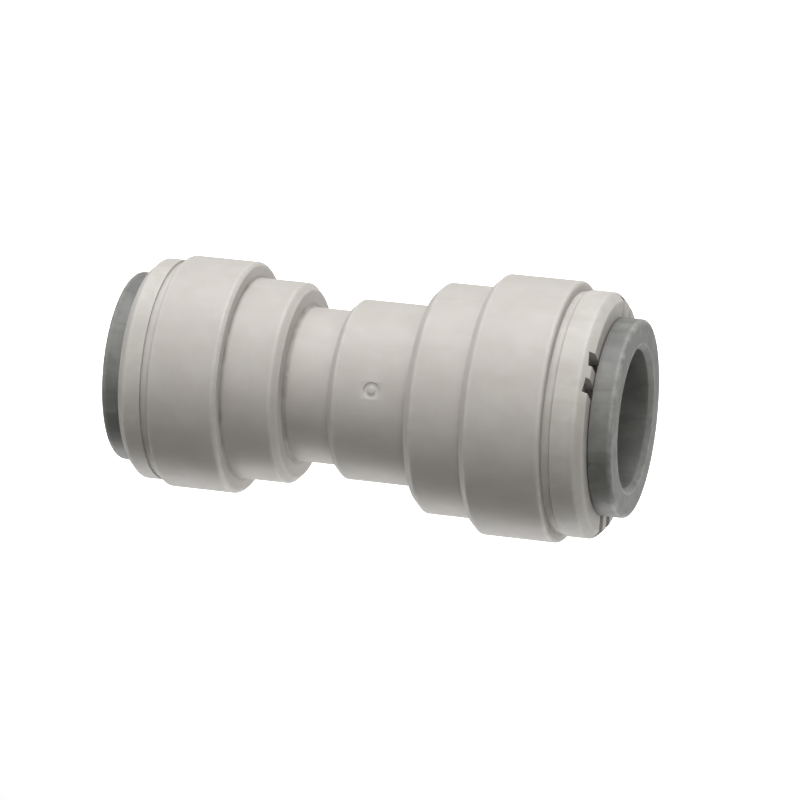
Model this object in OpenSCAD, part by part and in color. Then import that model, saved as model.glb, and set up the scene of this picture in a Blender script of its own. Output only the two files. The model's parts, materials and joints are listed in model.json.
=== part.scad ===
/* [Tubes] */
// Outside diameter of the tube that the large end takes
large_tube_d = 12.7; // [9:0.1:16]
// Outside diameter of the tube that the small end takes
small_tube_d = 12; // [9:0.1:16]
// Radial play between a tube and the bores that guide it
tube_play = 0.1; // [0.05:0.01:0.2]

/* [Body, large end] */
// Length of the large mouth ring, which holds the cap
large_ring_len = 7.65; // [7:0.05:12]
// Solid left between the cap's seat and the ring's inner edge
large_seat_floor = 1; // [0.8:0.05:2.5]
// Wall of the mouth ring around the cap
large_mouth_wall = 1.8; // [1:0.05:3]
// Wall of the step around the seal
large_seal_wall = 1.9; // [1:0.05:3]
// Solid left behind the seal's seat
large_seal_floor = 2.04; // [1.5:0.01:4]
// Length of the barrel that guides the tube's end
barrel_len = 7.95; // [5:0.05:12]
// Wall of that barrel
barrel_wall = 2; // [1.2:0.05:3]

/* [Body, small end] */
// Length of the small mouth ring, which holds the cap
small_ring_len = 6.7; // [6:0.05:12]
// Solid left between the cap's seat and the ring's inner edge
small_seat_floor = 0.95; // [0.8:0.05:2]
// Wall of the mouth ring around the cap
small_mouth_wall = 1.58; // [1:0.02:3]
// Wall of the step around the seal
small_seal_wall = 1.12; // [0.9:0.02:2.5]
// Solid left behind the seal's seat
small_seal_floor = 2.12; // [1.5:0.01:4]

/* [Waist and tube stop] */
// Length of the waist between the two sockets
waist_len = 4.52; // [2.5:0.01:8]
// Wall of the waist
waist_wall = 1.14; // [0.9:0.02:2.5]
// Length of the collar that both tubes stop against
stop_len = 1.8; // [1:0.1:2.4]
// How far the collar reaches under the barrel
stop_inset = 0.6; // [0:0.1:2]
// Height of the collar above the smaller tube bore
stop_lip = 1.2; // [0.8:0.1:2]

/* [Seals] */
// Cord thickness of the large O-ring
large_cord_d = 2.62; // [2.1:0.01:3.2]
// Cord thickness of the small O-ring
small_cord_d = 2.4; // [2:0.01:3]
// How much smaller than the tube the O-ring's hole is, on the radius
seal_squeeze = 0.09; // [0.02:0.01:0.15]
// Gap between the O-ring and the wall of its seat
seal_gap = 0.02; // [0.01:0.01:0.05]
// Room left along the axis on each side of an O-ring
seal_room = 0.15; // [0.1:0.05:0.4]

/* [Washers] */
// Thickness of the large spacer washer
large_washer_t = 1.4; // [1:0.05:2]
// Thickness of the small spacer washer
small_washer_t = 1.2; // [0.9:0.05:2]
// Radial gap around a washer, and half of the gap inside it
washer_gap = 0.1; // [0.05:0.01:0.2]
// Gap between a washer and the cap that keeps it in
washer_end_gap = 0.3; // [0.2:0.05:0.6]
// How far the cap's inner end overlaps the washer's edge
washer_lip = 0.25; // [0.15:0.05:0.4]

/* [Caps] */
// Length of the large cap outside the body
large_head_len = 3.75; // [3:0.05:6]
// Length of the small cap outside the body
small_head_len = 3.15; // [2.4:0.05:5]
// Wall of the large cap's plug at its inner end
large_cap_wall = 1.8; // [1.1:0.05:3]
// Wall of the small cap's plug at its inner end
small_cap_wall = 1.3; // [1:0.05:3]
// How far a cap's head stands out past its plug
cap_rim = 1.08; // [0.8:0.02:1.3]
// Length of the narrow neck between a cap's head and the body
neck_len = 0.8; // [0.4:0.05:1.2]
// Depth of that neck
neck_depth = 0.2; // [0.1:0.05:0.4]
// Chamfer on a cap's outer edge
cap_chamfer = 0.75; // [0.4:0.05:0.9]
// Radial gap between a cap's plug and the body
cap_fit = 0.02; // [0.01:0.01:0.05]
// Height of the snap bead around the plug
bead_h = 0.3; // [0.2:0.05:0.4]

/* [Key pockets in the caps] */
// Number of pockets
key_count = 4; // [1:1:4]
// Angle of the first pocket above the front
key_first = 42; // [0:1:359]
// Angle from one pocket to the next
key_pitch = 80; // [60:1:90]
// Width of a pocket
key_w = 3.9; // [2:0.1:5]
// Width of the rib that divides a pocket
key_rib_w = 1.2; // [0.6:0.1:1.6]
// Depth of a pocket
key_depth = 0.9; // [0.4:0.05:1.2]

/* [Collets] */
// Number of fingers, each with its own tooth
finger_count = 8; // [6:1:8]
// Wall of the large collet's sleeve
large_sleeve_wall = 1.1; // [0.9:0.05:2]
// Wall of the small collet's sleeve
small_sleeve_wall = 1.05; // [0.9:0.05:2]
// How far the large flange stands out past its sleeve
large_flange_rim = 1.65; // [1:0.05:1.9]
// How far the small flange stands out past its sleeve
small_flange_rim = 1.75; // [1:0.05:1.9]
// Thickness of the large flange
large_flange_t = 2.22; // [1.2:0.02:3]
// Thickness of the small flange
small_flange_t = 1.87; // [1:0.02:3]
// How far a collet travels between release and grip
collet_travel = 1.5; // [0.8:0.1:1.8]
// Gap under a flange when its collet is pushed in
flange_gap = 0.08; // [0.05:0.01:0.2]
// Radial gap between a sleeve and the cap's mouth
sleeve_gap = 0.2; // [0.1:0.05:0.3]
// Radial gap around the fingers' heads
head_gap = 0.2; // [0.1:0.05:0.3]
// Gap left at the taper when the collet is fully out
taper_gap = 0.05; // [0.03:0.01:0.1]
// Gap between the fingers' tips and the washer
tip_gap = 0.4; // [0.2:0.05:0.8]
// Width of the slots between the fingers
slot_w = 1; // [0.6:0.05:1.2]
// Solid sleeve left between the slots and the flange
slot_land = 2.2; // [1:0.1:3]

/* [Teeth] */
// Width of a tooth
tooth_w = 2.4; // [1.2:0.1:2.6]
// Thickness of a tooth
tooth_t = 0.35; // [0.25:0.05:0.5]
// Lean of a tooth towards the tube stop
tooth_lean = 30; // [20:1:40]
// How far a tooth stands into the collet's bore
tooth_bite = 0.17; // [0.05:0.01:0.2]
// Depth to which a tooth is set in its finger
tooth_root = 1.25; // [0.8:0.05:1.4]

/* [Outside edges] */
// Chamfer where the large mouth ring begins
large_ring_chamfer = 0.65; // [0.4:0.05:1.3]
// Chamfer where the large seal step begins
large_seal_chamfer = 0.75; // [0.4:0.05:2]
// Chamfer where the barrel begins
barrel_chamfer = 0.6; // [0.2:0.05:1.2]
// Chamfer where the small seal step begins
small_seal_chamfer = 0.6; // [0.4:0.05:1.5]
// Chamfer where the small mouth ring begins
small_ring_chamfer = 0.3; // [0.3:0.05:1.2]
// Rounding of the edges that a hand feels
edge_r = 0.3; // [0.1:0.05:0.5]

/* [Gate mark] */
// Distance of the gate mark from the barrel's seal-step end
gate_inset = 3.7; // [1.5:0.05:4]
// Angle of the gate mark above the front
gate_angle = 22; // [0:1:359]
// Width of the shallow dish around the gate
gate_dish_d = 1.5; // [0.8:0.1:2]
// Width of the stub left by the gate
gate_stub_d = 0.7; // [0.4:0.05:1]
// Depth of the dish
gate_depth = 0.12; // [0.05:0.01:0.2]

/* [Hidden] */
$fn = 64;
LARGE = 0;
SMALL = 1;
ENDS = ["large", "small"];
teeth = [for (e = [LARGE, SMALL], i = [1:finger_count]) str(ENDS[e], "_tooth_", i)];

// Colours
body_grey = [0.76, 0.74, 0.71];
cap_grey = [0.72, 0.70, 0.67];
collet_grey = [0.34, 0.36, 0.36];
washer_white = [0.86, 0.86, 0.84];
seal_black = [0.08, 0.08, 0.08];
steel = [0.75, 0.76, 0.78];

// The sizes that both ends share by meaning, as [large, small] pairs
tube_r = [large_tube_d / 2, small_tube_d / 2];
ring_len = [large_ring_len, small_ring_len];
mouth_wall = [large_mouth_wall, small_mouth_wall];
seal_wall = [large_seal_wall, small_seal_wall];
seal_floor = [large_seal_floor, small_seal_floor];
seat_floor = [large_seat_floor, small_seat_floor];
cord_d = [large_cord_d, small_cord_d];
washer_t = [large_washer_t, small_washer_t];
head_len = [large_head_len, small_head_len];
cap_wall = [large_cap_wall, small_cap_wall];
sleeve_wall = [large_sleeve_wall, small_sleeve_wall];
flange_rim = [large_flange_rim, small_flange_rim];
flange_t = [large_flange_t, small_flange_t];

// Radii, from the tube outwards
function bore_r(e) = tube_r[e] + tube_play;
function sleeve_r(e) = bore_r(e) + sleeve_wall[e];
function flange_r(e) = sleeve_r(e) + flange_rim[e];
function mouth_r(e) = sleeve_r(e) + sleeve_gap;
function seal_in_r(e) = tube_r[e] - seal_squeeze;
function seal_seat_r(e) = seal_in_r(e) + cord_d[e] + seal_gap;
function washer_r(e) = seal_seat_r(e) - washer_gap;
function wide_r(e) = max(washer_r(e) - washer_lip, mouth_r(e) + head_gap + head_catch);
function head_r(e) = wide_r(e) - head_gap;
function plug_r(e) = wide_r(e) + cap_wall[e];
function cap_r(e) = plug_r(e) + cap_rim;
function ring_r(e) = plug_r(e) + mouth_wall[e];
function seal_step_r(e) = seal_seat_r(e) + seal_wall[e];
waist_r = bore_r(SMALL) + waist_wall;
barrel_r = max(bore_r(LARGE) + barrel_wall, waist_r + edge_r);
water_r = min(bore_r(LARGE), bore_r(SMALL)) - stop_lip;

// Heights along an end's own axis: 0 at the body's mouth, positive outwards
function plug_end_z(e) = seat_floor[e] - ring_len[e];
function washer_z(e) = plug_end_z(e) - washer_end_gap;
function seal_z(e) = washer_z(e) - washer_t[e] - seal_room - cord_d[e] / 2;
function seal_floor_z(e) = seal_z(e) - cord_d[e] / 2 - seal_room;
function step_end_z(e) = seal_floor_z(e) - seal_floor[e];
function flange_z(e) = head_len[e] + flange_gap;
function face_z(e) = flange_z(e) + flange_t[e];
function tip_z(e) = washer_z(e) + tip_gap;
function wide_z(e) = tip_z(e) + collet_travel + head_land;
function taper_top(e) = flange_z(e) - slot_land - collet_travel;
function taper_rise(e) = (wide_r(e) - mouth_r(e)) / (taper_top(e) - wide_z(e));
// Height at which the collet's cone, pushed in, has the radius r
function cone_z(e, r) = taper_top(e) - collet_travel - (r + taper_gap - mouth_r(e)) / taper_rise(e);

// Places along X, with X = 0 halfway between the two collets' faces
body_len = -step_end_z(LARGE) - step_end_z(SMALL) + waist_len + barrel_len;
total_len = body_len + face_z(LARGE) + face_z(SMALL);
mouth_x = [total_len / 2 - face_z(LARGE), face_z(SMALL) - total_len / 2];
large_step_x = mouth_x[LARGE] + step_end_z(LARGE);
large_ring_x = mouth_x[LARGE] - ring_len[LARGE];
small_step_x = mouth_x[SMALL] - step_end_z(SMALL);
small_ring_x = mouth_x[SMALL] + ring_len[SMALL];
barrel_x = large_step_x - barrel_len;
large_stop_x = barrel_x + stop_inset;
small_stop_x = large_stop_x - stop_len;

// Small fixed sizes
lead_in = 0.4;
mouth_lead = 0.45;
face_edge_r = 0.35;
tip_chamfer = 0.3;
// How far a finger's head catches behind the cap's mouth, and its straight length
head_catch = 0.5;
head_land = 0.3;
// The snap bead: its steep side, its gentle side and its place below the mouth
bead_back = 0.25;
bead_ramp = 0.7;
bead_z = -3.2;
// How far a pocket passes the flat of its cap's end: out through the large chamfer, short of the small one
key_past = [0.3, -0.35];
nick_w = 0.5;
nick_angle = -8;
// Distance of a tooth's edge from the finger's tip
tooth_inset = 0.9;
// How far a cutting shape passes the surface that it opens
cut = 0.05;

// The largest share of a side that a rounding, and of a step that a chamfer, may use
round_share = 0.45;
chamfer_share = 0.8;
barrel_cut = min(barrel_chamfer, (barrel_r - waist_r) * chamfer_share);

// One corner of an outline, rounded by p[2] as far as its two sides allow
function at(p) = [p[0], p[1]];
function rounded_corner(a, p, b, steps) =
    let (
        to_a = at(a) - at(p),
        to_b = at(b) - at(p),
        u = to_a / norm(to_a),
        v = to_b / norm(to_b),
        half = acos(u * v) / 2,
        r = min(p[2], round_share * min(norm(to_a), norm(to_b)) * tan(half)),
        middle = at(p) + (u + v) / norm(u + v) * r / sin(half),
        start = at(p) + u * r / tan(half) - middle,
        stop = at(p) + v * r / tan(half) - middle,
        sweep = atan2(cross(start, stop), start * stop),
        first = atan2(start[1], start[0])
    )
    [for (k = [0:steps]) middle + r * [cos(first + sweep * k / steps), sin(first + sweep * k / steps)]];

// An outline of [radius, height, rounding] corners
function outline(corners, steps = 6) =
    let (n = len(corners))
    [for (i = [0:n - 1])
        let (p = corners[i])
        each (len(p) < 3 ? [p] : rounded_corner(corners[(i + n - 1) % n], p, corners[(i + 1) % n], steps))];

// A turned solid about Z with that outline
module turned(corners) {
    rotate_extrude() polygon(outline(corners));
}

// Puts an end's own axis, Z outwards, on the coupling's X axis, with its X towards the front
module on_end(e) {
    translate([mouth_x[e], 0, 0])
        rotate([0, e == LARGE ? 90 : -90, 0])
            rotate([0, 0, -90]) children();
}

// Turns a feature that faces the front up by an angle, in an end's own frame
module clocked(e, angle) {
    rotate([0, 0, e == LARGE ? -angle : angle]) children();
}

// ---------- body ----------

// The stepped outside, from the small mouth to the large mouth, as [radius, x, rounding]
function body_outside() = [
    [ring_r(SMALL), mouth_x[SMALL], edge_r],
    [ring_r(SMALL), small_ring_x - small_ring_chamfer, edge_r],
    [ring_r(SMALL) - small_ring_chamfer, small_ring_x, edge_r / 2],
    [seal_step_r(SMALL), small_ring_x, edge_r / 2],
    [seal_step_r(SMALL), small_step_x - small_seal_chamfer, edge_r],
    [seal_step_r(SMALL) - small_seal_chamfer, small_step_x, edge_r / 2],
    [waist_r, small_step_x, edge_r],
    [waist_r, barrel_x, edge_r / 3],
    [barrel_r - barrel_cut, barrel_x, edge_r / 3],
    [barrel_r, barrel_x + barrel_cut, edge_r],
    [barrel_r, large_step_x, edge_r / 2],
    [seal_step_r(LARGE) - large_seal_chamfer, large_step_x, edge_r / 2],
    [seal_step_r(LARGE), large_step_x + large_seal_chamfer, edge_r],
    [seal_step_r(LARGE), large_ring_x, edge_r / 3],
    [ring_r(LARGE) - large_ring_chamfer, large_ring_x, edge_r / 3],
    [ring_r(LARGE), large_ring_x + large_ring_chamfer, edge_r],
    [ring_r(LARGE), mouth_x[LARGE], edge_r],
];

// One socket's inside as [radius, height below the mouth], from the mouth to the tube stop
function socket_inside(e, stop_z) = [
    [plug_r(e) + cap_fit, 0],
    [plug_r(e) + cap_fit, bead_z + bead_back + cap_fit],
    [plug_r(e) + bead_h + cap_fit, bead_z + cap_fit],
    [plug_r(e) + bead_h + cap_fit, bead_z - bead_back],
    [plug_r(e) + cap_fit, bead_z - bead_back - bead_ramp],
    [plug_r(e) + cap_fit, plug_end_z(e)],
    [seal_seat_r(e), plug_end_z(e)],
    [seal_seat_r(e), seal_floor_z(e)],
    [bore_r(e) + lead_in, seal_floor_z(e)],
    [bore_r(e), seal_floor_z(e) - lead_in],
    [bore_r(e), stop_z],
    [water_r, stop_z],
];

module body_turned() {
    large_inside = [for (p = socket_inside(LARGE, large_stop_x - mouth_x[LARGE]))
        [p[0], mouth_x[LARGE] + p[1]]];
    small_inside = [for (p = socket_inside(SMALL, mouth_x[SMALL] - small_stop_x))
        [p[0], mouth_x[SMALL] - p[1]]];
    small_back = [for (i = [len(small_inside) - 1:-1:0]) small_inside[i]];
    rotate([0, 90, 0]) turned(concat(body_outside(), large_inside, small_back));
}

module gate_mark() {
    rotate([-gate_angle, 0, 0])
        translate([large_step_x - gate_inset, -barrel_r, 0])
            rotate([-90, 0, 0]) children();
}

module body() {
    color(body_grey) {
        difference() {
            body_turned();
            gate_mark() translate([0, 0, -cut]) cylinder(h = gate_depth + cut, d = gate_dish_d);
        }
        gate_mark() cylinder(h = barrel_wall / 2, d = gate_stub_d);
    }
}

// ---------- caps ----------

module cap_turned(e) {
    turned([
        [wide_r(e), plug_end_z(e) + cap_fit],
        [plug_r(e) - tip_chamfer, plug_end_z(e) + cap_fit],
        [plug_r(e), plug_end_z(e) + cap_fit + tip_chamfer],
        [plug_r(e), bead_z - bead_back - bead_ramp + 2 * cap_fit],
        [plug_r(e) + bead_h, bead_z - bead_back + 2 * cap_fit],
        [plug_r(e) + bead_h, bead_z - cap_fit],
        [plug_r(e), bead_z + bead_back - cap_fit],
        [plug_r(e), 0],
        [cap_r(e) - neck_depth, 0],
        [cap_r(e) - neck_depth, neck_len],
        [cap_r(e), neck_len, edge_r / 3],
        [cap_r(e), head_len[e] - cap_chamfer, edge_r],
        [cap_r(e) - cap_chamfer, head_len[e], edge_r],
        [mouth_r(e) + tip_chamfer, head_len[e]],
        [mouth_r(e), head_len[e] - tip_chamfer],
        [mouth_r(e), taper_top(e)],
        [wide_r(e), wide_z(e)],
    ]);
}

// A pocket in the cap's end, open to the mouth, with a rib left standing in it
module key_pocket(e) {
    reach = cap_r(e) - cap_chamfer + key_past[e];
    difference() {
        translate([mouth_r(e) - cut, -key_w / 2, head_len[e] - key_depth])
            cube([reach - mouth_r(e) + cut, key_w, key_depth + cut]);
        translate([mouth_r(e) - 2 * cut, -key_rib_w / 2, head_len[e] - key_depth - cut])
            cube([reach - mouth_r(e) + 4 * cut, key_rib_w, key_depth + 3 * cut]);
    }
}

module cap(e) {
    on_end(e) difference() {
        cap_turned(e);
        for (i = [0:key_count - 1])
            clocked(e, key_first + i * key_pitch) key_pocket(e);
    }
}

module large_cap() color(cap_grey) cap(LARGE);
module small_cap() color(cap_grey) cap(SMALL);

// ---------- seals and washers ----------

module o_ring(e) {
    on_end(e) translate([0, 0, seal_z(e)])
        rotate_extrude() translate([seal_in_r(e) + cord_d[e] / 2, 0]) circle(d = cord_d[e]);
}

module large_o_ring() color(seal_black) o_ring(LARGE);
module small_o_ring() color(seal_black) o_ring(SMALL);

module washer(e) {
    on_end(e) turned([
        [bore_r(e) + washer_gap, washer_z(e) - washer_t[e]],
        [washer_r(e), washer_z(e) - washer_t[e], edge_r / 2],
        [washer_r(e), washer_z(e), edge_r / 2],
        [bore_r(e) + washer_gap + tip_chamfer, washer_z(e)],
        [bore_r(e) + washer_gap, washer_z(e) - tip_chamfer],
    ]);
}

module large_washer() color(washer_white) washer(LARGE);
module small_washer() color(washer_white) washer(SMALL);

// ---------- collets ----------

module collet_turned(e) {
    turned([
        [bore_r(e), tip_z(e) + tip_chamfer],
        [bore_r(e) + tip_chamfer, tip_z(e)],
        [head_r(e) - tip_chamfer, tip_z(e)],
        [head_r(e), tip_z(e) + tip_chamfer],
        [head_r(e), cone_z(e, head_r(e))],
        [sleeve_r(e), cone_z(e, sleeve_r(e))],
        [sleeve_r(e), flange_z(e)],
        [flange_r(e), flange_z(e), edge_r / 3],
        [flange_r(e), face_z(e), face_edge_r],
        [bore_r(e) + mouth_lead, face_z(e), edge_r / 2],
        [bore_r(e), face_z(e) - mouth_lead],
    ]);
}

// The slots between the fingers, open at the tips and round at their blind ends
module slots(e) {
    slot_end = flange_z(e) - slot_land;
    for (i = [0:finger_count - 1])
        rotate([0, 0, i * 360 / finger_count]) {
            translate([0, -slot_w / 2, tip_z(e) - cut])
                cube([head_r(e) + cut, slot_w, slot_end - slot_w / 2 - tip_z(e) + cut]);
            translate([0, 0, slot_end - slot_w / 2])
                rotate([0, 90, 0]) cylinder(h = head_r(e) + cut, d = slot_w);
        }
}

// The nick left in the flange's back edge by the moulding gate
module gate_nick(e) {
    clocked(e, nick_angle) translate([flange_r(e), 0, flange_z(e)])
        rotate([45, 0, 0]) cube([nick_w, nick_w, nick_w], center = true);
}

module collet(e) {
    on_end(e) difference() {
        collet_turned(e);
        slots(e);
        gate_nick(e);
        for (i = [1:finger_count]) tooth_blade(e, i);
    }
}

module large_collet() color(collet_grey) collet(LARGE);
module small_collet() color(collet_grey) collet(SMALL);

// ---------- teeth ----------

// A sharpened steel blade in the middle of finger i, leaning towards the tube stop
module tooth_blade(e, i) {
    along = [cos(tooth_lean), sin(tooth_lean)];
    across = [-sin(tooth_lean), cos(tooth_lean)];
    tip = [bore_r(e) - tooth_bite, tip_z(e) + tooth_inset];
    blade_len = (tooth_bite + tooth_root) / cos(tooth_lean);
    rotate([0, 0, (i - 0.5) * 360 / finger_count]) rotate([90, 0, 0])
        linear_extrude(height = tooth_w, center = true)
            polygon([
                tip,
                tip + along * blade_len,
                tip + along * blade_len + across * tooth_t,
                tip + along * tooth_t + across * tooth_t,
            ]);
}

module tooth(e, i) color(steel) on_end(e) tooth_blade(e, i);

// ---------- assembly ----------

body();
large_cap();
large_washer();
large_o_ring();
large_collet();
small_cap();
small_washer();
small_o_ring();
small_collet();
for (e = [LARGE, SMALL], i = [1:finger_count])
    tooth(e, i);
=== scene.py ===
# %% [markdown]
# # A push-fit tube coupling
# This coupling joins two plastic water tubes of different sizes by hand. A tube is pushed in through a
# collet, an O-ring and a stop collar. Steel teeth in the collet's fingers then hold it, until someone
# presses the collet in.
#
# The CAD model already fixes every size and place, so this lesson loads it as a frame and builds the
# finish around it. Nothing here moves or resizes the frame: the fine pieces take their outlines from it.

# %% Load the frame
import json
import math

import bmesh
import bpy
from mathutils import Matrix, Vector, kdtree

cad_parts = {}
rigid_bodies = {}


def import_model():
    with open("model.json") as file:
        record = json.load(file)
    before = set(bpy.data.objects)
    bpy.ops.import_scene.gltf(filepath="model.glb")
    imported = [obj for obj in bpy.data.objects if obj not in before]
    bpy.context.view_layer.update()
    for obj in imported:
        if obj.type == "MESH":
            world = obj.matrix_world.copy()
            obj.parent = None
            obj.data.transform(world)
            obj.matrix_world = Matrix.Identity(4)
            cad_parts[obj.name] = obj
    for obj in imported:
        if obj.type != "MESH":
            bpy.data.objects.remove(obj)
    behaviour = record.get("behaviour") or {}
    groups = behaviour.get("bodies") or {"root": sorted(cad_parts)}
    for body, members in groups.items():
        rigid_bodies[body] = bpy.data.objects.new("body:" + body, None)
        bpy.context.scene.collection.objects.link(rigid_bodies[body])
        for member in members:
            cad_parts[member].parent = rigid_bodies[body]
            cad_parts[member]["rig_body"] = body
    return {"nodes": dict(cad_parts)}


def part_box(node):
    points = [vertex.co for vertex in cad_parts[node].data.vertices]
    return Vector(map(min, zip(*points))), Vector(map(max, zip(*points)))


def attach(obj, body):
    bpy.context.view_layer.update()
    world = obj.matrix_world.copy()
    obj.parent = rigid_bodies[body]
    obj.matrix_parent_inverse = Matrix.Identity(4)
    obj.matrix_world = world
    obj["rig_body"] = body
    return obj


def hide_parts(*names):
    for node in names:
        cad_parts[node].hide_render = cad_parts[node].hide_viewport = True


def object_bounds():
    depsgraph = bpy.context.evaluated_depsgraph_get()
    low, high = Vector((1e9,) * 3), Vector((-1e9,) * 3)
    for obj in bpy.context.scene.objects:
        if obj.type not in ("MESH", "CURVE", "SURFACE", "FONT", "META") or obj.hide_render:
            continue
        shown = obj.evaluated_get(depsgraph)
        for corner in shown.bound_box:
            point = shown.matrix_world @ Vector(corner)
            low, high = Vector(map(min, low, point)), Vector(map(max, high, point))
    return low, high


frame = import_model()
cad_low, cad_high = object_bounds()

MM = 0.001
scene = bpy.context.scene
print("CAD box in mm:", [round(v / MM, 2) for v in (*cad_low, *cad_high)])

# %% [markdown]
# ## Reading an outline from a turned piece
# Most parts of a coupling are round about one axis, so a single outline says everything about them. The
# outline could be typed in again, but then it could drift from the CAD piece. Instead a copy of the CAD
# mesh is cut by a plane through the axis, and the cut edges are walked in order. The cut is made at an
# angle that misses slots, pockets and marks. A cut through flat facets falls slightly short of the true
# radius, so each cut point is then moved to the nearest real ring of vertices.

# %% Outline of a turned piece
RING_MATCH = 0.02 * MM


def ring_finder(mesh):
    """A search tree over every vertex's place along the axis and distance from it."""
    tree = kdtree.KDTree(len(mesh.vertices))
    for v in mesh.vertices:
        tree.insert((v.co.x, math.hypot(v.co.y, v.co.z), 0), v.index)
    tree.balance()
    return tree


def walk(links):
    """The points of a closed loop in order, from a table of each point's neighbours."""
    start = next(iter(links))
    path, last = [start], None
    while True:
        here = path[-1]
        ahead = [p for p in links[here] if p != last]
        if not ahead or ahead[0] == start or len(path) > len(links):
            return path
        last = here
        path.append(ahead[0])


def outline_of(node, angle):
    """The (x, r) outline of a CAD node, in metres, where a half-plane at that angle about X cuts it."""
    mesh = frame["nodes"][node].data
    work = bmesh.new()
    work.from_mesh(mesh)
    bmesh.ops.remove_doubles(work, verts=work.verts, dist=1e-7)
    bmesh.ops.rotate(work, verts=work.verts, matrix=Matrix.Rotation(-angle, 3, "X"))
    everything = [*work.verts, *work.edges, *work.faces]
    bmesh.ops.bisect_plane(work, geom=everything, plane_no=(0, 0, 1), clear_inner=True, clear_outer=True)
    work.verts.index_update()
    links = {}
    for edge in work.edges:
        a, b = edge.verts
        if a.co.y > 0 and b.co.y > 0:
            links.setdefault(a.index, []).append(b.index)
            links.setdefault(b.index, []).append(a.index)
    work.verts.ensure_lookup_table()
    cut = [work.verts[i].co.copy() for i in walk(links)]
    work.free()
    rings = ring_finder(mesh)
    outline = []
    for co in cut:
        found, _, distance = rings.find((co.x, co.y, 0))
        point = (round(found.x, 7), round(found.y, 7))
        if distance < RING_MATCH and point not in outline[-1:]:
            outline.append(point)
    return straightened(outline)


# %% [markdown]
# ## Preparing an outline for a clean surface
# Three small jobs make an outline fit to be turned. Points that lie on a straight run are dropped. Sharp
# corners get a tiny radius, because a mould never leaves a perfect edge and a perfect edge catches no
# light. Then each long run gets one extra point near both of its ends. Those extra rings hold the flat
# faces flat while the corners shade smoothly, and they keep the rim and hollow masks close to the corners.

# %% Straighten, soften and brace an outline
STRAIGHT = 0.004 * MM
SHARP_TURN = math.radians(25)
BRACE = 0.22 * MM


def neighbours(points):
    """Each point with the one before and the one after, round a closed outline."""
    return [(points[i - 1], points[i], points[(i + 1) % len(points)]) for i in range(len(points))]


def straightened(points):
    """The outline without the points that lie on the line between their neighbours."""
    kept = list(points)
    while True:
        dull = []
        for i, (a, p, b) in enumerate(neighbours(kept)):
            run = Vector(b) - Vector(a)
            off = abs(run.cross(Vector(p) - Vector(a))) / max(run.length, 1e-9)
            if off < STRAIGHT and (not dull or dull[-1] != i - 1):
                dull.append(i)
        if not dull:
            return kept
        kept = [p for i, p in enumerate(kept) if i not in dull]


def softened(points, radius, steps=5):
    """The outline with a small arc in place of each sharp corner."""
    made = []
    for a, p, b in neighbours(points):
        to_a, to_b = Vector(a) - Vector(p), Vector(b) - Vector(p)
        half = to_a.angle(to_b) / 2
        if math.pi - 2 * half < SHARP_TURN:
            made.append(p)
            continue
        reach = min(radius / math.tan(half), 0.4 * to_a.length, 0.4 * to_b.length)
        start, stop = to_a.normalized() * reach, to_b.normalized() * reach
        for k in range(steps + 1):
            t = k / steps
            bend = start * (1 - t) ** 2 + stop * t**2
            made.append(tuple(Vector(p) + bend))
    return made


def braced(points):
    """The outline with one more point near both ends of each long run."""
    made = []
    for _, p, b in neighbours(points):
        made.append(p)
        run = Vector(b) - Vector(p)
        if run.length > 3 * BRACE:
            inset = run.normalized() * BRACE
            made += [tuple(Vector(p) + inset), tuple(Vector(b) - inset)]
    return made


# %% [markdown]
# ## Turning an outline into a piece
# The outline is copied round the X axis and each pair of neighbouring rings is joined by a band of quads.
# A Screw modifier would do the same, but plain code also lets each ring carry two masks. `rim` is high
# where the outline bends outwards, which is where hands and drawers rub a fitting. `hollow` is high where
# it bends inwards, which is where grime settles and where the materials paint shade into the corners.
# Materials read both by name later.

# %% Turn an outline about the X axis
SEGMENTS = 224
FULL_BEND = math.radians(12)


def double_area(points):
    """Twice the area inside an outline. It is below zero when the points run clockwise."""
    return sum(a[0] * b[1] - b[0] * a[1] for a, b, _ in neighbours(points))


def bends(points):
    """How strongly the outline bends outwards and inwards at each point, from 0 to 1 each."""
    area = double_area(points)
    rim, hollow = [], []
    for a, p, b in neighbours(points):
        before, after = Vector(p) - Vector(a), Vector(b) - Vector(p)
        turn = math.atan2(before.cross(after), before.dot(after)) * math.copysign(1, area)
        rim.append(min(max(turn / FULL_BEND, 0), 1))
        hollow.append(min(max(-turn / FULL_BEND, 0), 1))
    return rim, hollow


def turned(name, points, segments=SEGMENTS):
    """A closed mesh object: the (x, r) outline turned about the X axis, with its rim and hollow masks.
    The points are put in counter-clockwise order first, so that every face looks outwards."""
    count = len(points)
    if double_area(points) < 0:
        points = points[::-1]
    rim, hollow = bends(points)
    verts, faces = [], []
    for j in range(segments):
        angle = 2 * math.pi * j / segments
        verts += [(x, r * math.cos(angle), r * math.sin(angle)) for x, r in points]
        here, after = j * count, (j + 1) % segments * count
        for i in range(count):
            k = (i + 1) % count
            faces.append((here + i, here + k, after + k, after + i))
    mesh = bpy.data.meshes.new(name)
    mesh.from_pydata(verts, [], faces)
    for label, values in (("rim", rim), ("hollow", hollow)):
        mask = mesh.attributes.new(label, "FLOAT", "CORNER")
        mask.data.foreach_set("value", [values[loop.vertex_index % count] for loop in mesh.loops])
    piece = bpy.data.objects.new(name, mesh)
    scene.collection.objects.link(piece)
    print(f"{name}: {count} outline points, {len(faces)} faces")
    return piece


# %% [markdown]
# ## Finding the details that are not round
# Slots, pockets and marks are the places where a CAD vertex lies off the turned outline. Their corners are
# collected by that test, and sorted into groups by the angle where they stand. Three measures describe a
# point on a round part well: how far along X, how far out along a chosen direction, and how far to the
# side.

# %% Details and their places
OFF_OUTLINE = 0.03 * MM
X_TO_Y = Matrix.Rotation(math.pi / 2, 4, "Z")


def outward(end):
    """The direction along X in which an end faces."""
    return 1 if end == "large" else -1


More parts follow.
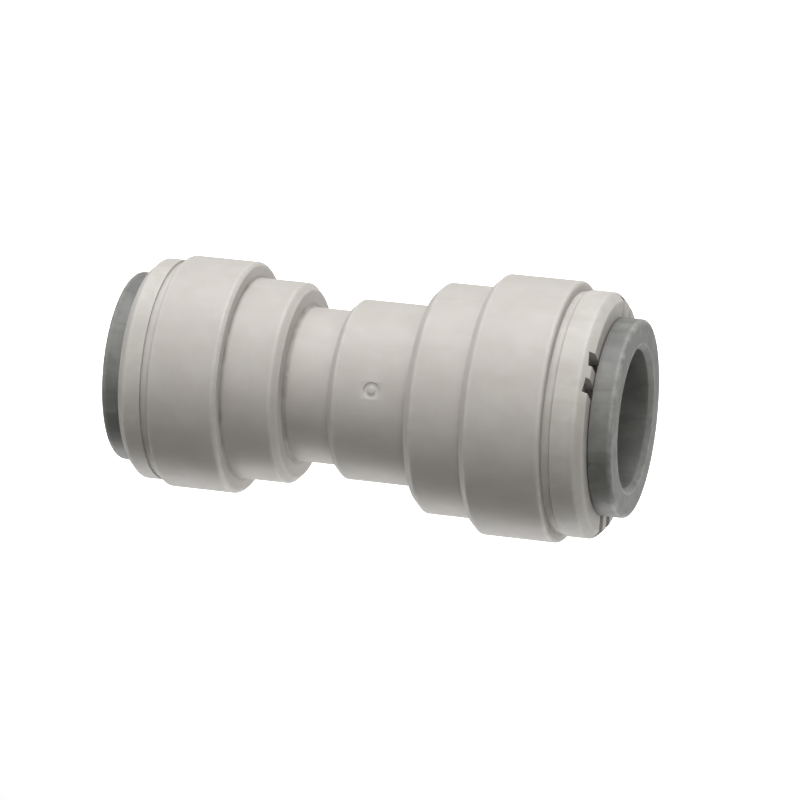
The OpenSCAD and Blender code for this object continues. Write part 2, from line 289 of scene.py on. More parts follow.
def height_of(co, angle):
    """How far a point stands out from the axis, along the direction at that angle."""
    return co.y * math.cos(angle) + co.z * math.sin(angle)


def side_of(co, angle):
    """How far a point lies to the side of the direction at that angle."""
    return co.z * math.cos(angle) - co.y * math.sin(angle)


def mean_angle(points):
    """The angle about X of the middle of some points."""
    return math.atan2(sum(co.z for co in points), sum(co.y for co in points))


def gap_to_run(p, a, b):
    """The distance from a point to a straight run of an outline."""
    run, to_p = Vector(b) - Vector(a), Vector(p) - Vector(a)
    share = min(max(to_p.dot(run) / run.length_squared, 0), 1)
    return (to_p - run * share).length


def details(node, outline):
    """The vertices of a CAD node that lie off its turned outline."""
    runs = [(a, p) for a, p, _ in neighbours(outline)]
    gaps = {}
    found = []
    for v in frame["nodes"][node].data.vertices:
        place = (round(v.co.x, 6), round(math.hypot(v.co.y, v.co.z), 6))
        if place not in gaps:
            gaps[place] = min(gap_to_run(place, a, b) for a, b in runs)
        if gaps[place] > OFF_OUTLINE:
            found.append(v.co.copy())
    return found


def grouped(points, gap):
    """The points sorted into groups, parted wherever no point stands for that much angle."""
    ordered = sorted(points, key=lambda co: math.atan2(co.z, co.y))
    angles = [math.atan2(co.z, co.y) for co in ordered]
    breaks = [i for i in range(len(ordered)) if (angles[i] - angles[i - 1]) % (2 * math.pi) > gap]
    return [(ordered + ordered)[i:j] for i, j in zip(breaks, breaks[1:] + [breaks[0] + len(ordered)])]


def surface_r(outline, x):
    """The radius of the outermost surface at a place along X."""
    runs = [(a, p) for a, p, _ in neighbours(outline) if min(a[0], p[0]) < x < max(a[0], p[0])]
    return max(a[1] + (p[1] - a[1]) * (x - a[0]) / (p[0] - a[0]) for a, p in runs)


# %% [markdown]
# ## Cutting details into a turned piece
# Slots and pockets are not round, so they are cut with Boolean modifiers, as a mould-maker would mill them.
# The result is made final at once, and the cutter is deleted, so that no helper object is left behind. The
# new edges are sharp, and a Bevel modifier gives them the small radius that a moulding has. A Weighted
# Normal modifier last keeps the big faces flat next to those narrow bevels.

# %% Boolean cuts and edge finish
SHARP_EDGE = math.radians(38)


def carved(piece, cutter):
    """The piece with the cutter's volume taken away. The cutter is deleted."""
    cut = piece.modifiers.new("cut", "BOOLEAN")
    cut.operation = "DIFFERENCE"
    cut.solver = "EXACT"
    cut.object = cutter
    graph = bpy.context.evaluated_depsgraph_get()
    made = bpy.data.meshes.new_from_object(piece.evaluated_get(graph), depsgraph=graph)
    piece.modifiers.clear()
    piece.data = made
    bpy.data.objects.remove(cutter)
    print(f"{piece.name}: {len(made.polygons)} faces after the cut")
    return piece


def prisms(shapes, way):
    """Straight cutters in one object. Each shape lists its (outwards, sideways) corners, the heights that
    it runs between, and the angle about X at which it stands."""
    verts, faces = [], []
    for corners, low, high, angle in shapes:
        first, count = len(verts), len(corners)
        side = Vector((0, -math.sin(angle), math.cos(angle)))
        up = Vector((0, math.cos(angle), math.sin(angle)))
        for height in (low, high):
            verts += [Vector((way * u, 0, 0)) + side * v + up * height for u, v in corners]
        bottom = tuple(range(first, first + count))
        top = tuple(range(first + 2 * count - 1, first + count - 1, -1))
        faces += [bottom, top]
        for i in range(count):
            k = (i + 1) % count
            faces.append((first + i, first + k, first + count + k, first + count + i)[::-1])
    mesh = bpy.data.meshes.new("cutter")
    mesh.from_pydata(verts, [], faces)
    work = bmesh.new()
    work.from_mesh(mesh)
    bmesh.ops.recalc_face_normals(work, faces=work.faces)
    work.to_mesh(mesh)
    work.free()
    cutter = bpy.data.objects.new("cutter", mesh)
    scene.collection.objects.link(cutter)
    return cutter


def finish_edges(piece, radius):
    """Smooth shading, with a fine bevel on the edges that are still sharp."""
    for face in piece.data.polygons:
        face.use_smooth = True
    if radius:
        bevel = piece.modifiers.new("moulded edges", "BEVEL")
        bevel.width = radius
        bevel.segments = 2
        bevel.limit_method = "ANGLE"
        bevel.angle_limit = SHARP_EDGE
        bevel.use_clamp_overlap = True
    normals = piece.modifiers.new("flat faces", "WEIGHTED_NORMAL")
    normals.keep_sharp = True
    normals.weight = 80


# %% [markdown]
# ## Shared shader effects
# The next cells build node groups. A group is a small effect with named inputs, built once and then placed
# in each material with that material's own values. Groups hand on only colours, masks, heights and
# roughness. The Principled shader itself stays in each material.

# %% Helpers for node trees
def new_group(name, inputs, outputs):
    """A shader node group with named sockets, and its input and output nodes."""
    tree = bpy.data.node_groups.new(name, "ShaderNodeTree")
    kinds = {"value": "NodeSocketFloat", "colour": "NodeSocketColor", "vector": "NodeSocketVector"}
    for label, kind, default in inputs:
        socket = tree.interface.new_socket(label, in_out="INPUT", socket_type=kinds[kind])
        if default is not None:
            socket.default_value = default
    for label, kind in outputs:
        tree.interface.new_socket(label, in_out="OUTPUT", socket_type=kinds[kind])
    return tree, tree.nodes.new("NodeGroupInput"), tree.nodes.new("NodeGroupOutput")


def feed(tree, socket, source):
    """Links a source socket to a socket, or sets the socket's own value."""
    if isinstance(source, bpy.types.NodeSocket):
        tree.links.new(source, socket)
    else:
        socket.default_value = source


def noise(tree, where, scale, detail=2.0, roughness=0.5, distortion=0.0):
    """The value of a noise texture at a place."""
    node = tree.nodes.new("ShaderNodeTexNoise")
    feed(tree, node.inputs["Vector"], where)
    feed(tree, node.inputs["Scale"], scale)
    node.inputs["Detail"].default_value = detail
    node.inputs["Roughness"].default_value = roughness
    node.inputs["Distortion"].default_value = distortion
    return node.outputs["Fac"]


def maths(tree, operation, a, b=0.0, clamp=False):
    """The result of one Math node."""
    node = tree.nodes.new("ShaderNodeMath")
    node.operation = operation
    node.use_clamp = clamp
    feed(tree, node.inputs[0], a)
    feed(tree, node.inputs[1], b)
    return node.outputs[0]


def remap(tree, value, low, high, to_low=0.0, to_high=1.0):
    """A value moved from one range to another, clamped, with soft ends."""
    node = tree.nodes.new("ShaderNodeMapRange")
    node.interpolation_type = "SMOOTHSTEP"
    feed(tree, node.inputs["Value"], value)
    for label, source in (("From Min", low), ("From Max", high), ("To Min", to_low), ("To Max", to_high)):
        feed(tree, node.inputs[label], source)
    return node.outputs["Result"]


def blended(tree, share, a, b, mode="MIX"):
    """Two colours mixed by a share."""
    node = tree.nodes.new("ShaderNodeMix")
    node.data_type = "RGBA"
    node.blend_type = mode
    feed(tree, node.inputs[0], share)
    feed(tree, node.inputs[6], a)
    feed(tree, node.inputs[7], b)
    return node.outputs[2]


def stretched(tree, where, scale):
    """A place scaled by a different amount along each axis."""
    node = tree.nodes.new("ShaderNodeVectorMath")
    node.operation = "MULTIPLY"
    feed(tree, node.inputs[0], where)
    node.inputs[1].default_value = scale
    return node.outputs[0]


# %% [markdown]
# ### Moulded grain
# The steel mould for a matt fitting is roughened by spark erosion, and the plastic copies it: a very fine
# grain. Thick walls also sink a little as they cool, in slow waves. An image could hold both, but noise
# has no seams and needs no unwrapping. Fine noise and slow noise are added as a height, and a third noise
# makes the shine uneven.

# %% Group: moulded grain
grain_group, came, goes = new_group(
    "Moulded grain",
    [
        ("Place", "vector", None),
        ("Grains per metre", "value", 9000.0),
        ("Waves per metre", "value", 260.0),
        ("Grain share", "value", 0.35),
        ("Roughness", "value", 0.5),
        ("Roughness spread", "value", 0.12),
    ],
    [("Height", "value"), ("Roughness", "value")],
)
fine = noise(grain_group, came.outputs["Place"], came.outputs["Grains per metre"], 3.0, 0.6)
slow = noise(grain_group, came.outputs["Place"], came.outputs["Waves per metre"], 1.0)
share = maths(grain_group, "MULTIPLY", fine, came.outputs["Grain share"])
grain_group.links.new(maths(grain_group, "ADD", share, slow), goes.inputs["Height"])
patchy = noise(grain_group, came.outputs["Place"], 900.0, 4.0, 0.65)
around_zero = maths(grain_group, "SUBTRACT", patchy, 0.5)
swing = maths(grain_group, "MULTIPLY", around_zero, came.outputs["Roughness spread"])
level = maths(grain_group, "ADD", came.outputs["Roughness"], swing, clamp=True)
grain_group.links.new(level, goes.inputs["Roughness"])

# %% [markdown]
# ### Melt colour
# Pigment never mixes perfectly in a moulding. Clouds a few millimetres wide differ by a per cent or two,
# and faint streaks follow the way the melt flowed, here along the tube. Two noises, one of them stretched
# along X, mix the base colour with a lighter and a darker one.

# %% Group: melt colour
melt_group, came, goes = new_group(
    "Melt colour",
    [
        ("Place", "vector", None),
        ("Base", "colour", (0.5, 0.5, 0.5, 1)),
        ("Pale", "colour", (0.6, 0.6, 0.6, 1)),
        ("Deep", "colour", (0.4, 0.4, 0.4, 1)),
        ("Clouds", "value", 0.5),
        ("Streaks", "value", 0.3),
    ],
    [("Colour", "colour")],
)
clouds = remap(melt_group, noise(melt_group, came.outputs["Place"], 330.0, 3.0, 0.55, 0.4), 0.35, 0.7)
flow = stretched(melt_group, came.outputs["Place"], (120.0, 900.0, 900.0))
streaks = remap(melt_group, noise(melt_group, flow, 1.0, 3.0, 0.5, 0.8), 0.45, 0.75)
cloudy = maths(melt_group, "MULTIPLY", clouds, came.outputs["Clouds"])
streaky = maths(melt_group, "MULTIPLY", streaks, came.outputs["Streaks"])
lifted = blended(melt_group, cloudy, came.outputs["Base"], came.outputs["Pale"])
melt_group.links.new(blended(melt_group, streaky, lifted, came.outputs["Deep"]), goes.inputs["Colour"])

# %% [markdown]
# ### Rubbed rims
# Convex edges rub against other fittings in the bag, and rubbed plastic turns paler and smoother. The `rim`
# mask already marks those edges. Noise breaks it up, so that the rub comes and goes round the ring, and
# sparse specks add the tiny nicks found all over a handled part.

# %% Group: rubbed rims
rub_group, came, goes = new_group(
    "Rubbed rims",
    [("Place", "vector", None), ("Rim", "value", 0.0), ("Rub", "value", 0.5), ("Specks", "value", 0.3)],
    [("Mask", "value"), ("Nicks", "value")],
)
broken = remap(rub_group, noise(rub_group, came.outputs["Place"], 700.0, 4.0, 0.65), 0.35, 0.65, 0.25, 1.0)
broken_rim = maths(rub_group, "MULTIPLY", came.outputs["Rim"], broken)
rubbed = maths(rub_group, "MULTIPLY", broken_rim, came.outputs["Rub"])
dots = rub_group.nodes.new("ShaderNodeTexVoronoi")
dots.inputs["Scale"].default_value = 620.0
rub_group.links.new(came.outputs["Place"], dots.inputs["Vector"])
specks = remap(rub_group, dots.outputs["Distance"], 0.05, 0.16, 1.0, 0.0)
where_specks = remap(rub_group, noise(rub_group, came.outputs["Place"], 210.0, 1.0), 0.52, 0.66)
sparse = maths(rub_group, "MULTIPLY", specks, where_specks)
nicks = maths(rub_group, "MULTIPLY", sparse, came.outputs["Specks"])
rub_group.links.new(nicks, goes.inputs["Nicks"])
rub_group.links.new(maths(rub_group, "MAXIMUM", rubbed, nicks), goes.inputs["Mask"])

# %% [markdown]
# ### Grime and painted shade
# Fine dust and skin oil collect in the inner corners between the steps and never quite leave. On the
# plastics the dark corner tint is also painted shade: it stands for the shadow that falls into the seams.
# The `hollow` mask marks those corners, and a very faint film of dust lies everywhere else. The group puts
# out one mask that each material tints with its own colour for grime and painted shade.

# %% Group: grime and painted shade
grime_shade_group, came, goes = new_group(
    "Grime and painted shade",
    [
        ("Place", "vector", None),
        ("Hollow", "value", 0.0),
        ("In corners", "value", 0.6),
        ("Film", "value", 0.08),
    ],
    [("Mask", "value")],
)
uneven = remap(grime_shade_group, noise(grime_shade_group, came.outputs["Place"], 520.0, 4.0, 0.6), 0.3, 0.7, 0.45, 1.0)
# Painted shade as well as grime: the hollow mask darkens the inner corners where shadow falls.
corners = maths(grime_shade_group, "MULTIPLY", came.outputs["Hollow"], came.outputs["In corners"])
dusty = noise(grime_shade_group, came.outputs["Place"], 140.0, 3.0)
film = maths(grime_shade_group, "MULTIPLY", dusty, came.outputs["Film"])
settled_and_shaded = maths(grime_shade_group, "ADD", corners, film)
both = maths(grime_shade_group, "MULTIPLY", settled_and_shaded, uneven, clamp=True)
grime_shade_group.links.new(both, goes.inputs["Mask"])
print("node groups:", sorted(g.name for g in bpy.data.node_groups))

# %% [markdown]
# ## Materials
# Every plastic part uses the four groups in the same order: melt colour, then grime and painted corner
# shade over it, then rubbed rims. The grain drives a Bump node and the roughness. One function wires this
# up, and each material calls it with its own values, as different plastics come out of similar moulds.

# %% A function for moulded materials
def place_group(tree, group, values):
    """Puts a node group in a tree and sets or links its inputs."""
    node = tree.nodes.new("ShaderNodeGroup")
    node.node_tree = group
    for label, source in values.items():
        feed(tree, node.inputs[label], source)
    return node


def mask_of(tree, name):
    """The value of a mask that the mesh carries."""
    node = tree.nodes.new("ShaderNodeAttribute")
    node.attribute_name = name
    return node.outputs["Fac"]


def opaque(colour):
    """A colour with full alpha."""
    return (*colour, 1.0)


def moulded(name, base, pale, deep, grime_and_shade, melt=(0.5, 0.3), grain=(0.35, 0.5, 0.12), bump=0.02,
            rub=(0.5, 0.3), shade_and_dirt=(0.6, 0.08), specular=0.4, glow=0.0):
    """A moulded plastic or rubber, from its colours and the amount of each shared effect."""
    material = bpy.data.materials.new(f"{name}_finish")
    material.use_nodes = True
    tree = material.node_tree
    shader = tree.nodes["Principled BSDF"]
    place = tree.nodes.new("ShaderNodeTexCoord").outputs["Object"]
    surface = place_group(tree, grain_group, {
        "Place": place, "Grain share": grain[0], "Roughness": grain[1], "Roughness spread": grain[2]})
    colour = place_group(tree, melt_group, {
        "Place": place, "Base": opaque(base), "Pale": opaque(pale), "Deep": opaque(deep),
        "Clouds": melt[0], "Streaks": melt[1]})
    worn = place_group(tree, rub_group, {
        "Place": place, "Rim": mask_of(tree, "rim"), "Rub": rub[0], "Specks": rub[1]})
    shaded_grime = place_group(tree, grime_shade_group, {
        "Place": place, "Hollow": mask_of(tree, "hollow"), "In corners": shade_and_dirt[0], "Film": shade_and_dirt[1]})
    # Painted shade and grime: the corner mask tints the hollows with the grime-and-shade colour.
    soiled_and_shaded = blended(tree, shaded_grime.outputs["Mask"], colour.outputs["Colour"], opaque(grime_and_shade))
    final = blended(tree, worn.outputs["Mask"], soiled_and_shaded, opaque(pale))
    tree.links.new(final, shader.inputs["Base Color"])
    smoother = maths(tree, "MULTIPLY", worn.outputs["Mask"], 0.12)
    rough = maths(tree, "SUBTRACT", surface.outputs["Roughness"], smoother, clamp=True)
    tree.links.new(rough, shader.inputs["Roughness"])
    nicked = maths(tree, "SUBTRACT", surface.outputs["Height"], worn.outputs["Nicks"])
    dent = tree.nodes.new("ShaderNodeBump")
    dent.inputs["Strength"].default_value = 1.0
    dent.inputs["Distance"].default_value = bump * MM
    tree.links.new(nicked, dent.inputs["Height"])
    tree.links.new(dent.outputs["Normal"], shader.inputs["Normal"])
    shader.inputs["Specular IOR Level"].default_value = specular
    if glow:
        shader.inputs["Subsurface Weight"].default_value = glow
        shader.inputs["Subsurface Radius"].default_value = (1.0, 0.9, 0.8)
        shader.inputs["Subsurface Scale"].default_value = 0.6 * MM
    return material


# %% [markdown]
# ### The plastics and the rubber
# The body and caps are a warm light-grey acetal, matt and slightly cloudy, so a little light spreads under
# the surface. The collets are a darker, bluer acetal and a bit shinier. The washers are a natural, nearly
# white plastic, and the O-rings are black nitrile rubber with a dull bloom.

# %% Plastics and rubber
# Each grime colour tints the inner corners: grime, and on the plastics painted shade as well.
body_plastic = moulded(
    "body_plastic", base=(0.50, 0.475, 0.445), pale=(0.56, 0.54, 0.51), deep=(0.46, 0.435, 0.40),
    grime_and_shade=(0.16, 0.145, 0.115), melt=(0.45, 0.25), rub=(0.9, 0.35), bump=0.03, glow=0.15)
cap_plastic = moulded(
    "cap_plastic", base=(0.50, 0.48, 0.45), pale=(0.60, 0.585, 0.55), deep=(0.45, 0.43, 0.39),
    grime_and_shade=(0.15, 0.135, 0.105), melt=(0.6, 0.35), rub=(0.5, 0.8), bump=0.03, glow=0.15)
collet_plastic = moulded(
    "collet_plastic", base=(0.168, 0.170, 0.164), pale=(0.34, 0.34, 0.325), deep=(0.115, 0.113, 0.105),
    grime_and_shade=(0.07, 0.065, 0.055), melt=(0.35, 0.4), grain=(0.25, 0.5, 0.15), rub=(0.85, 0.5), specular=0.45)
washer_plastic = moulded(
    "washer_plastic", base=(0.72, 0.71, 0.67), pale=(0.80, 0.79, 0.76), deep=(0.62, 0.61, 0.57),
    grime_and_shade=(0.3, 0.28, 0.24), grain=(0.2, 0.42, 0.1), glow=0.2)
seal_rubber = moulded(
    "seal_rubber", base=(0.018, 0.018, 0.018), pale=(0.05, 0.05, 0.048), deep=(0.010, 0.010, 0.010),
    grime_and_shade=(0.09, 0.085, 0.075), grain=(0.5, 0.62, 0.12), rub=(0.4, 0.2), specular=0.35)

# %% [markdown]
# ### Spring steel
# The teeth are punched from stainless strip. Rolling leaves fine lines along the strip, and hardening can
# leave a faint straw tint. Stretched noise makes the lines, as roughness and bump, and a slow noise moves
# the colour a little between cool and warm.

# %% Steel
def spring_steel():
    """Stainless strip with rolling lines and a faint warm tint."""
    material = bpy.data.materials.new("tooth_steel_finish")
    material.use_nodes = True
    tree = material.node_tree
    shader = tree.nodes["Principled BSDF"]
    place = tree.nodes.new("ShaderNodeTexCoord").outputs["Object"]
    lines = noise(tree, stretched(tree, place, (900.0, 16000.0, 16000.0)), 1.0, 3.0, 0.6)
    tint = remap(tree, noise(tree, place, 420.0, 2.0), 0.4, 0.7)
    metal = blended(tree, tint, (0.62, 0.62, 0.63, 1), (0.66, 0.61, 0.52, 1))
    tree.links.new(metal, shader.inputs["Base Color"])
    tree.links.new(remap(tree, lines, 0.3, 0.7, 0.22, 0.42), shader.inputs["Roughness"])
    shader.inputs["Metallic"].default_value = 1.0
    dent = tree.nodes.new("ShaderNodeBump")
    dent.inputs["Distance"].default_value = 0.004 * MM
    tree.links.new(lines, dent.inputs["Height"])
    tree.links.new(dent.outputs["Normal"], shader.inputs["Normal"])
    return material


tooth_steel = spring_steel()
print("materials:", sorted(m.name for m in bpy.data.materials))

# %% [markdown]
# ## Fitting a finished piece to the frame
# Each fine piece rides on the CAD body of the node that it stands for, so it follows every joint. One
# function does the bookkeeping: material, edge finish, body, material slot and the node that it replaces.

# %% Put a piece in service
def fit(piece, node, material, edge=0.0):
    """Gives a piece its material and edge finish, puts it on the CAD node's body and hides that node."""
    piece.data.materials.clear()
    piece.data.materials.append(material)
    finish_edges(piece, edge)
    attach(piece, frame["nodes"][node]["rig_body"])
    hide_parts(node)
    low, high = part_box(node)
    size = [round((h - l) / MM, 2) for l, h in zip(low, high)]
    print(f"{piece.name} stands for {node}, {size} mm")
    return piece


# %% [markdown]
# ## The body
# The body is one moulding with a socket at each end and five outside steps. It could be modelled from
# stacked cylinders, but one turned outline gives every step, chamfer and seat in a single clean skin. The
# only thing on it that is not round is the gate mark: where the plastic entered the mould, a shallow dish
# with the cut stub in its middle. A ring-shaped cutter mills the dish and leaves the stub standing. Two
# extra rings beside the mark keep its shading from running along the barrel.
#
# The outline is read at an odd angle on purpose. A plane that passed exactly through the CAD mesh's own
# vertices would leave no cut edges to walk.

# %% The body and its gate mark
TURN_SOFT = 0.06 * MM
GATE_MARGIN = 0.35 * MM
CUT_SOFT = 0.07 * MM
CLEAR_OF_GATE = math.radians(71.3)


def ringed(outline, places):
    """The outline with an extra ring at each place along X, on its outermost run."""
    made = []
    for a, p, b in neighbours(outline):
        made.append(p)
        here = [x for x in places if min(p[0], b[0]) < x < max(p[0], b[0])]
        for x in sorted(here, key=lambda x: abs(x - p[0])):
            r = p[1] + (b[1] - p[1]) * (x - p[0]) / (b[0] - p[0])
            if abs(r - surface_r(outline, x)) < RING_MATCH:
                made.append((x, r))
    return made


def body():
    """The body's moulding, with its gate mark and a support ring on each side of it."""
    outline = outline_of("body", CLEAR_OF_GATE)
    mark = details("body", outline)
    angle = mean_angle(mark)
    centre_x = sum(co.x for co in mark) / len(mark)
    spread = [math.hypot(co.x - centre_x, side_of(co, angle)) for co in mark]
    floor_r = min(height_of(co, angle) for co in mark)
    skin_r = surface_r(outline, centre_x)
    inner, outer, above = min(spread), max(spread), skin_r + MM
    groove = [(floor_r, inner), (floor_r, outer), (above, outer), (above, inner)]
    cutter = turned("gate_cutter", softened(groove, TURN_SOFT), 48)
    cutter.data.transform(Matrix.Translation((centre_x, 0, 0)) @ Matrix.Rotation(angle, 4, "X") @ X_TO_Y)
    print(f"gate mark {2 * outer / MM:.2f} mm wide, {(skin_r - floor_r) / MM:.2f} mm deep")
    reach = outer + GATE_MARGIN
    skin = ringed(braced(softened(outline, TURN_SOFT)), (centre_x - reach, centre_x + reach))
    return carved(turned("coupling_body", skin), cutter)


fit(body(), "body", body_plastic, CUT_SOFT / 2)

# %% [markdown]
# ## The caps
# A cap presses into each end of the body and keeps the seal and washer in. The visible part is a short
# ring with a narrow neck. Pockets in its end take a hook spanner for taking the cap out, and a rib divides
# each pocket. The ring is turned, and straight cutters mill the pockets on both sides of each rib. Their
# places are read from the CAD cap: the vertices that lie off the turned outline are the pockets' corners.

# %% The caps
CLEAR_OF_POCKETS = math.radians(-161.3)
POCKET_GAP = math.radians(20)


def cap(end):
    """One end's cap, with its spanner pockets."""
    outline = outline_of(f"{end}_cap", CLEAR_OF_POCKETS)
    way = outward(end)
    face = max(way * x for x, _ in outline)
    mouth_r = min(r for _, r in outline)
    shapes = []
    for corners in grouped(details(f"{end}_cap", outline), POCKET_GAP):
        angle = mean_angle(corners)
        sides = [abs(side_of(co, angle)) for co in corners]
        floor = min(way * co.x for co in corners)
        reach = max(height_of(co, angle) for co in corners)
        for hand in (-1, 1):
            near, far = hand * min(sides), hand * max(sides)
            shape = [(floor, near), (floor, far), (face + MM, far), (face + MM, near)]
            shapes.append((shape, mouth_r - MM, reach, angle))
    deep, wide = (face - floor) / MM, 2 * max(sides) / MM
    print(f"{end} cap: {len(shapes) // 2} pockets, {deep:.2f} mm deep, {wide:.1f} mm wide")
    return carved(turned(f"{end}_end_cap", braced(softened(outline, TURN_SOFT))), prisms(shapes, way))


for end in ("large", "small"):
    fit(cap(end), f"{end}_cap", cap_plastic, CUT_SOFT)

# %% [markdown]
# ## The collets
# A collet is a sleeve with a flange to press on. Slots divide its inner half into fingers, and each finger
# holds a steel tooth, so the slots lie midway between the teeth. The slots are round at their blind ends,
# because a square end would crack when the fingers flex. A small nick in the flange's back edge is where
# this moulding was cut from its sprue.

# %% The collets
CLEAR_OF_SLOTS = math.radians(8)
SLOT_SEARCH = 0.8 * MM
ROUND_END_STEPS = 12


def slot_shape(width, start, stop):
    """A slot from start to stop, with a round end at stop."""
    middle = stop - width / 2
    arc = [math.pi * (0.5 - k / ROUND_END_STEPS) for k in range(ROUND_END_STEPS + 1)]
    rounded = [(middle + width / 2 * math.cos(t), width / 2 * math.sin(t)) for t in arc]
    return [(start, width / 2), *rounded, (start, -width / 2)]


def tooth_angles(end):
    """The angle about X of each of the end's teeth."""
    names = sorted(n for n in frame["nodes"] if n.startswith(f"{end}_tooth_"))
    return [mean_angle([v.co for v in frame["nodes"][n].data.vertices]) for n in names]


def slot_corners(node, outline, angle, bore_r):
    """The CAD vertices where one slot meets the bore, apart from the bore's own end rings."""
    rings = [x for x, _ in outline]
    near = [v.co.copy() for v in frame["nodes"][node].data.vertices
            if height_of(v.co, angle) > 0 and abs(side_of(v.co, angle)) < SLOT_SEARCH]
    return [co for co in near if abs(math.hypot(co.y, co.z) - bore_r) < RING_MATCH
            and min(abs(co.x - x) for x in rings) > RING_MATCH]


def nick_shape(node, outline, way):
    """The sprue nick as a shape for prisms: a square on its corner, at the flange's back edge."""
    flange_r = max(r for _, r in outline)
    back = min(way * x for x, r in outline if r > flange_r - RING_MATCH)
    corners = [co for co in details(node, outline) if math.hypot(co.y, co.z) > flange_r - MM / 2]
    angle = mean_angle(corners)
    half = max(way * co.x for co in corners) - back
    low = min(height_of(co, angle) for co in corners)
    return ([(back - half, 0), (back, half), (back + half, 0), (back, -half)], low, flange_r + MM, angle)


def collet(end):
    """One end's collet, with its slots and sprue nick."""
    node, way, teeth = f"{end}_collet", outward(end), tooth_angles(end)
    half_pitch = math.pi / len(teeth)
    outline = outline_of(node, teeth[0] + half_pitch - CLEAR_OF_SLOTS)
    tip = min(way * x for x, _ in outline)
    bore_r = min(r for _, r in outline)
    outer_r = max(r for _, r in outline)
    corners = slot_corners(node, outline, teeth[0] + half_pitch, bore_r)
    width = 2 * max(abs(side_of(co, teeth[0] + half_pitch)) for co in corners)
    stop = max(way * co.x for co in corners)
    shapes = [(slot_shape(width, tip - MM, stop), bore_r - MM, outer_r, t + half_pitch) for t in teeth]
    print(f"{end} collet: {len(teeth)} slots, {width / MM:.2f} mm wide and {(stop - tip) / MM:.2f} mm long")
    cutter = prisms([*shapes, nick_shape(node, outline, way)], way)
    return carved(turned(f"{end}_grip_collet", braced(softened(outline, TURN_SOFT))), cutter)


for end in ("large", "small"):
    fit(collet(end), f"{end}_collet", collet_plastic, CUT_SOFT)

# %% [markdown]
# ## Washers and seals
# A washer spaces each O-ring from the fingers' tips, and slides as the collet moves. It is a flat turned
# ring with soft corners. The O-ring is moulded in two halves, so it keeps a thin line of flash round its
# middle. Its section is the CAD ring's circle, with that line raised by a few hundredths of a millimetre.

# %% Washers and seals
FLASH = 0.03 * MM
ANY_ANGLE = 0.3


def seal(end):
    """One O-ring. The flash stands on the sides that face along the tube, where nothing seals."""
    circle = outline_of(f"{end}_o_ring", ANY_ANGLE)
    low, high = min(x for x, _ in circle), max(x for x, _ in circle)
    flash = [(x + (FLASH if high - x < FLASH else -FLASH if x - low < FLASH else 0), r) for x, r in circle]
    return turned(f"{end}_seal_ring", flash)


for end in ("large", "small"):
    ring = braced(softened(outline_of(f"{end}_washer", ANY_ANGLE), TURN_SOFT))
    fit(turned(f"{end}_spacer_washer", ring), f"{end}_washer", washer_plastic)
    fit(seal(end), f"{end}_o_ring", seal_rubber)

# %% [markdown]
# ## The teeth
# Each tooth is a blade of spring steel, sheared from strip, ground to an edge and moulded into its finger.
# The CAD blade has the right planes but razor corners. A copy of it is welded into one skin, and every edge
# gets a narrow bevel, as tumbling leaves on stamped steel. A loop makes all of them.

# %% The teeth
TUMBLED = 0.025 * MM


def tooth(node):
    """A finished tooth in the place of a CAD tooth."""
    work = bmesh.new()
    work.from_mesh(frame["nodes"][node].data)
    bmesh.ops.remove_doubles(work, verts=work.verts, dist=1e-7)
    bmesh.ops.dissolve_limit(work, angle_limit=math.radians(1), verts=work.verts, edges=work.edges)
    bmesh.ops.bevel(work, geom=work.edges[:], offset=TUMBLED, segments=2, affect="EDGES", profile=0.5)
    name = node.replace("_tooth_", "_grip_tooth_")
    mesh = bpy.data.meshes.new(name)
    work.to_mesh(mesh)
    work.free()
    piece = bpy.data.objects.new(name, mesh)
    scene.collection.objects.link(piece)
    return piece


for node in sorted(n for n in frame["nodes"] if "_tooth_" in n):
    fit(tooth(node), node, tooth_steel)

# %% [markdown]
# ## Floor and dark card
# The floor is a wide sheet of white paper a little below the part. A catalogue picture lights such paper
# until it burns out to pure white. Here the paper glows for the camera only. It looks burnt out, and yet
# throws no false light on the part. A dark card lies on its front half, out of the picture. Studios call
# it negative fill: it keeps bounced light off the lower front, and so gives the round sides a shadow that
# shows their shape. The card is hidden from the camera, so it never shows in another view.

# %% Floor and card
FLOOR_DROP = 30 * MM
FLOOR_HALF = 1.5
CARD_LIFT = 0.5 * MM
CARD_HALF = 0.5
floor_z = cad_low.z - FLOOR_DROP


def sheet(name, low, high, z, colour):
    """A flat rectangle of matt paper that isn't part of the coupling."""
    mesh = bpy.data.meshes.new(name)
    (x0, y0), (x1, y1) = low, high
    mesh.from_pydata([(x0, y0, z), (x1, y0, z), (x1, y1, z), (x0, y1, z)], [], [(0, 1, 2, 3)])
    paper = bpy.data.materials.new(f"{name}_paper")
    paper.use_nodes = True
    shader = paper.node_tree.nodes["Principled BSDF"]
    shader.inputs["Base Color"].default_value = opaque(colour)
    shader.inputs["Roughness"].default_value = 0.9
    shader.inputs["Specular IOR Level"].default_value = 0.0
    mesh.materials.append(paper)
    piece = bpy.data.objects.new(name, mesh)
    scene.collection.objects.link(piece)
    return piece, shader


PAPER = (0.86, 0.86, 0.86)
CARD = (0.035, 0.033, 0.028)
floor, floor_shader = sheet("floor", (-FLOOR_HALF, -FLOOR_HALF), (FLOOR_HALF, FLOOR_HALF), floor_z, PAPER)
floor_tree = floor.data.materials[0].node_tree
floor_shader.inputs["Emission Color"].default_value = (1, 1, 1, 1)
seen = floor_tree.nodes.new("ShaderNodeLightPath").outputs["Is Camera Ray"]
floor_tree.links.new(seen, floor_shader.inputs["Emission Strength"])
card, _ = sheet("dark_card", (-CARD_HALF, -CARD_HALF), (CARD_HALF, 0), floor_z + CARD_LIFT, CARD)
card.visible_camera = False
print(f"floor {FLOOR_DROP / MM:.0f} mm below the part")

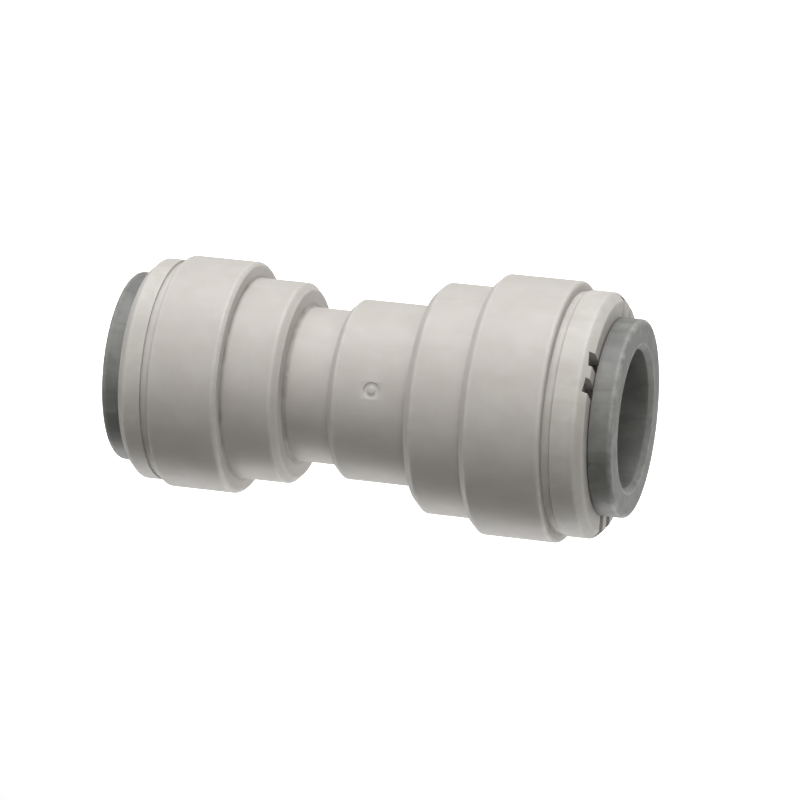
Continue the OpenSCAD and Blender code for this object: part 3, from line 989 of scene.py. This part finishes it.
# %% [markdown]
# ## Lights
# One soft box overhead does most of the work, and a weaker one beside the camera carries the light over
# the front. A long strip lies on the floor, just behind the line under the part, and shines up. It draws a
# bright edge along the underside, as pale paper under a real part does. The world adds an even light.

# %% Lights
KEY_SIZE = (0.4, 0.4)
KEY_DISTANCE = 0.7
KEY_POWER, FRONT_POWER, STRIP_POWER = 3.65, 0.79, 0.0141
STRIP_SIZE = (90 * MM, 14 * MM)
STRIP_PLACE = (0, 3 * MM, floor_z + 2 * MM)
WORLD_STRENGTH = 0.596


def soft_box(name, place, size, power, colour=(1, 1, 1)):
    """An area light that faces the part and is hidden from the camera."""
    light = bpy.data.lights.new(name, "AREA")
    light.shape = "RECTANGLE"
    light.size, light.size_y = size
    light.energy = power
    light.color = colour
    lamp = bpy.data.objects.new(name, light)
    lamp.location = place
    lamp.rotation_euler = (-Vector(place)).to_track_quat("-Z", "Y").to_euler()
    lamp.visible_camera = False
    scene.collection.objects.link(lamp)
    return lamp


def direction(azimuth, elevation):
    """The unit vector from the part towards that azimuth, from the front, and elevation, in degrees."""
    a, e = math.radians(azimuth), math.radians(elevation)
    return Vector((math.sin(a) * math.cos(e), -math.cos(a) * math.cos(e), math.sin(e)))


soft_box("overhead", direction(0, 90) * KEY_DISTANCE, KEY_SIZE, KEY_POWER, (0.99, 0.985, 1.0))
soft_box("front", direction(16, 25) * KEY_DISTANCE, KEY_SIZE, FRONT_POWER, (1.0, 0.98, 0.94))
edge_strip = soft_box("under_edge", STRIP_PLACE, STRIP_SIZE, STRIP_POWER)
edge_strip.rotation_euler = (math.pi, 0, 0)
world = bpy.data.worlds.new("studio")
world.use_nodes = True
backdrop = world.node_tree.nodes["Background"]
backdrop.inputs["Color"].default_value = (1, 1, 0.985, 1)
backdrop.inputs["Strength"].default_value = WORLD_STRENGTH
scene.world = world
scene.view_settings.view_transform = "Standard"

# %% [markdown]
# ## Camera
# A long lens from a distance keeps the rings close to parallel, as product pictures do. The camera stands
# slightly to the right of the front and looks down, so that the large end's collet and bore show.

# %% Camera
AZIMUTH, ELEVATION = 16.7, 21
DISTANCE = 0.4655
target = Vector((1.92 * MM, -0.2 * MM, -0.54 * MM))
back = direction(AZIMUTH, ELEVATION)
lens = bpy.data.cameras.new("camera")
lens.lens = 225
lens.sensor_width = 36
lens.clip_start, lens.clip_end = 0.01, 10
camera = bpy.data.objects.new("camera", lens)
camera.location = target + back * DISTANCE
camera.rotation_euler = (-back).to_track_quat("-Z", "Y").to_euler()
scene.collection.objects.link(camera)
scene.camera = camera
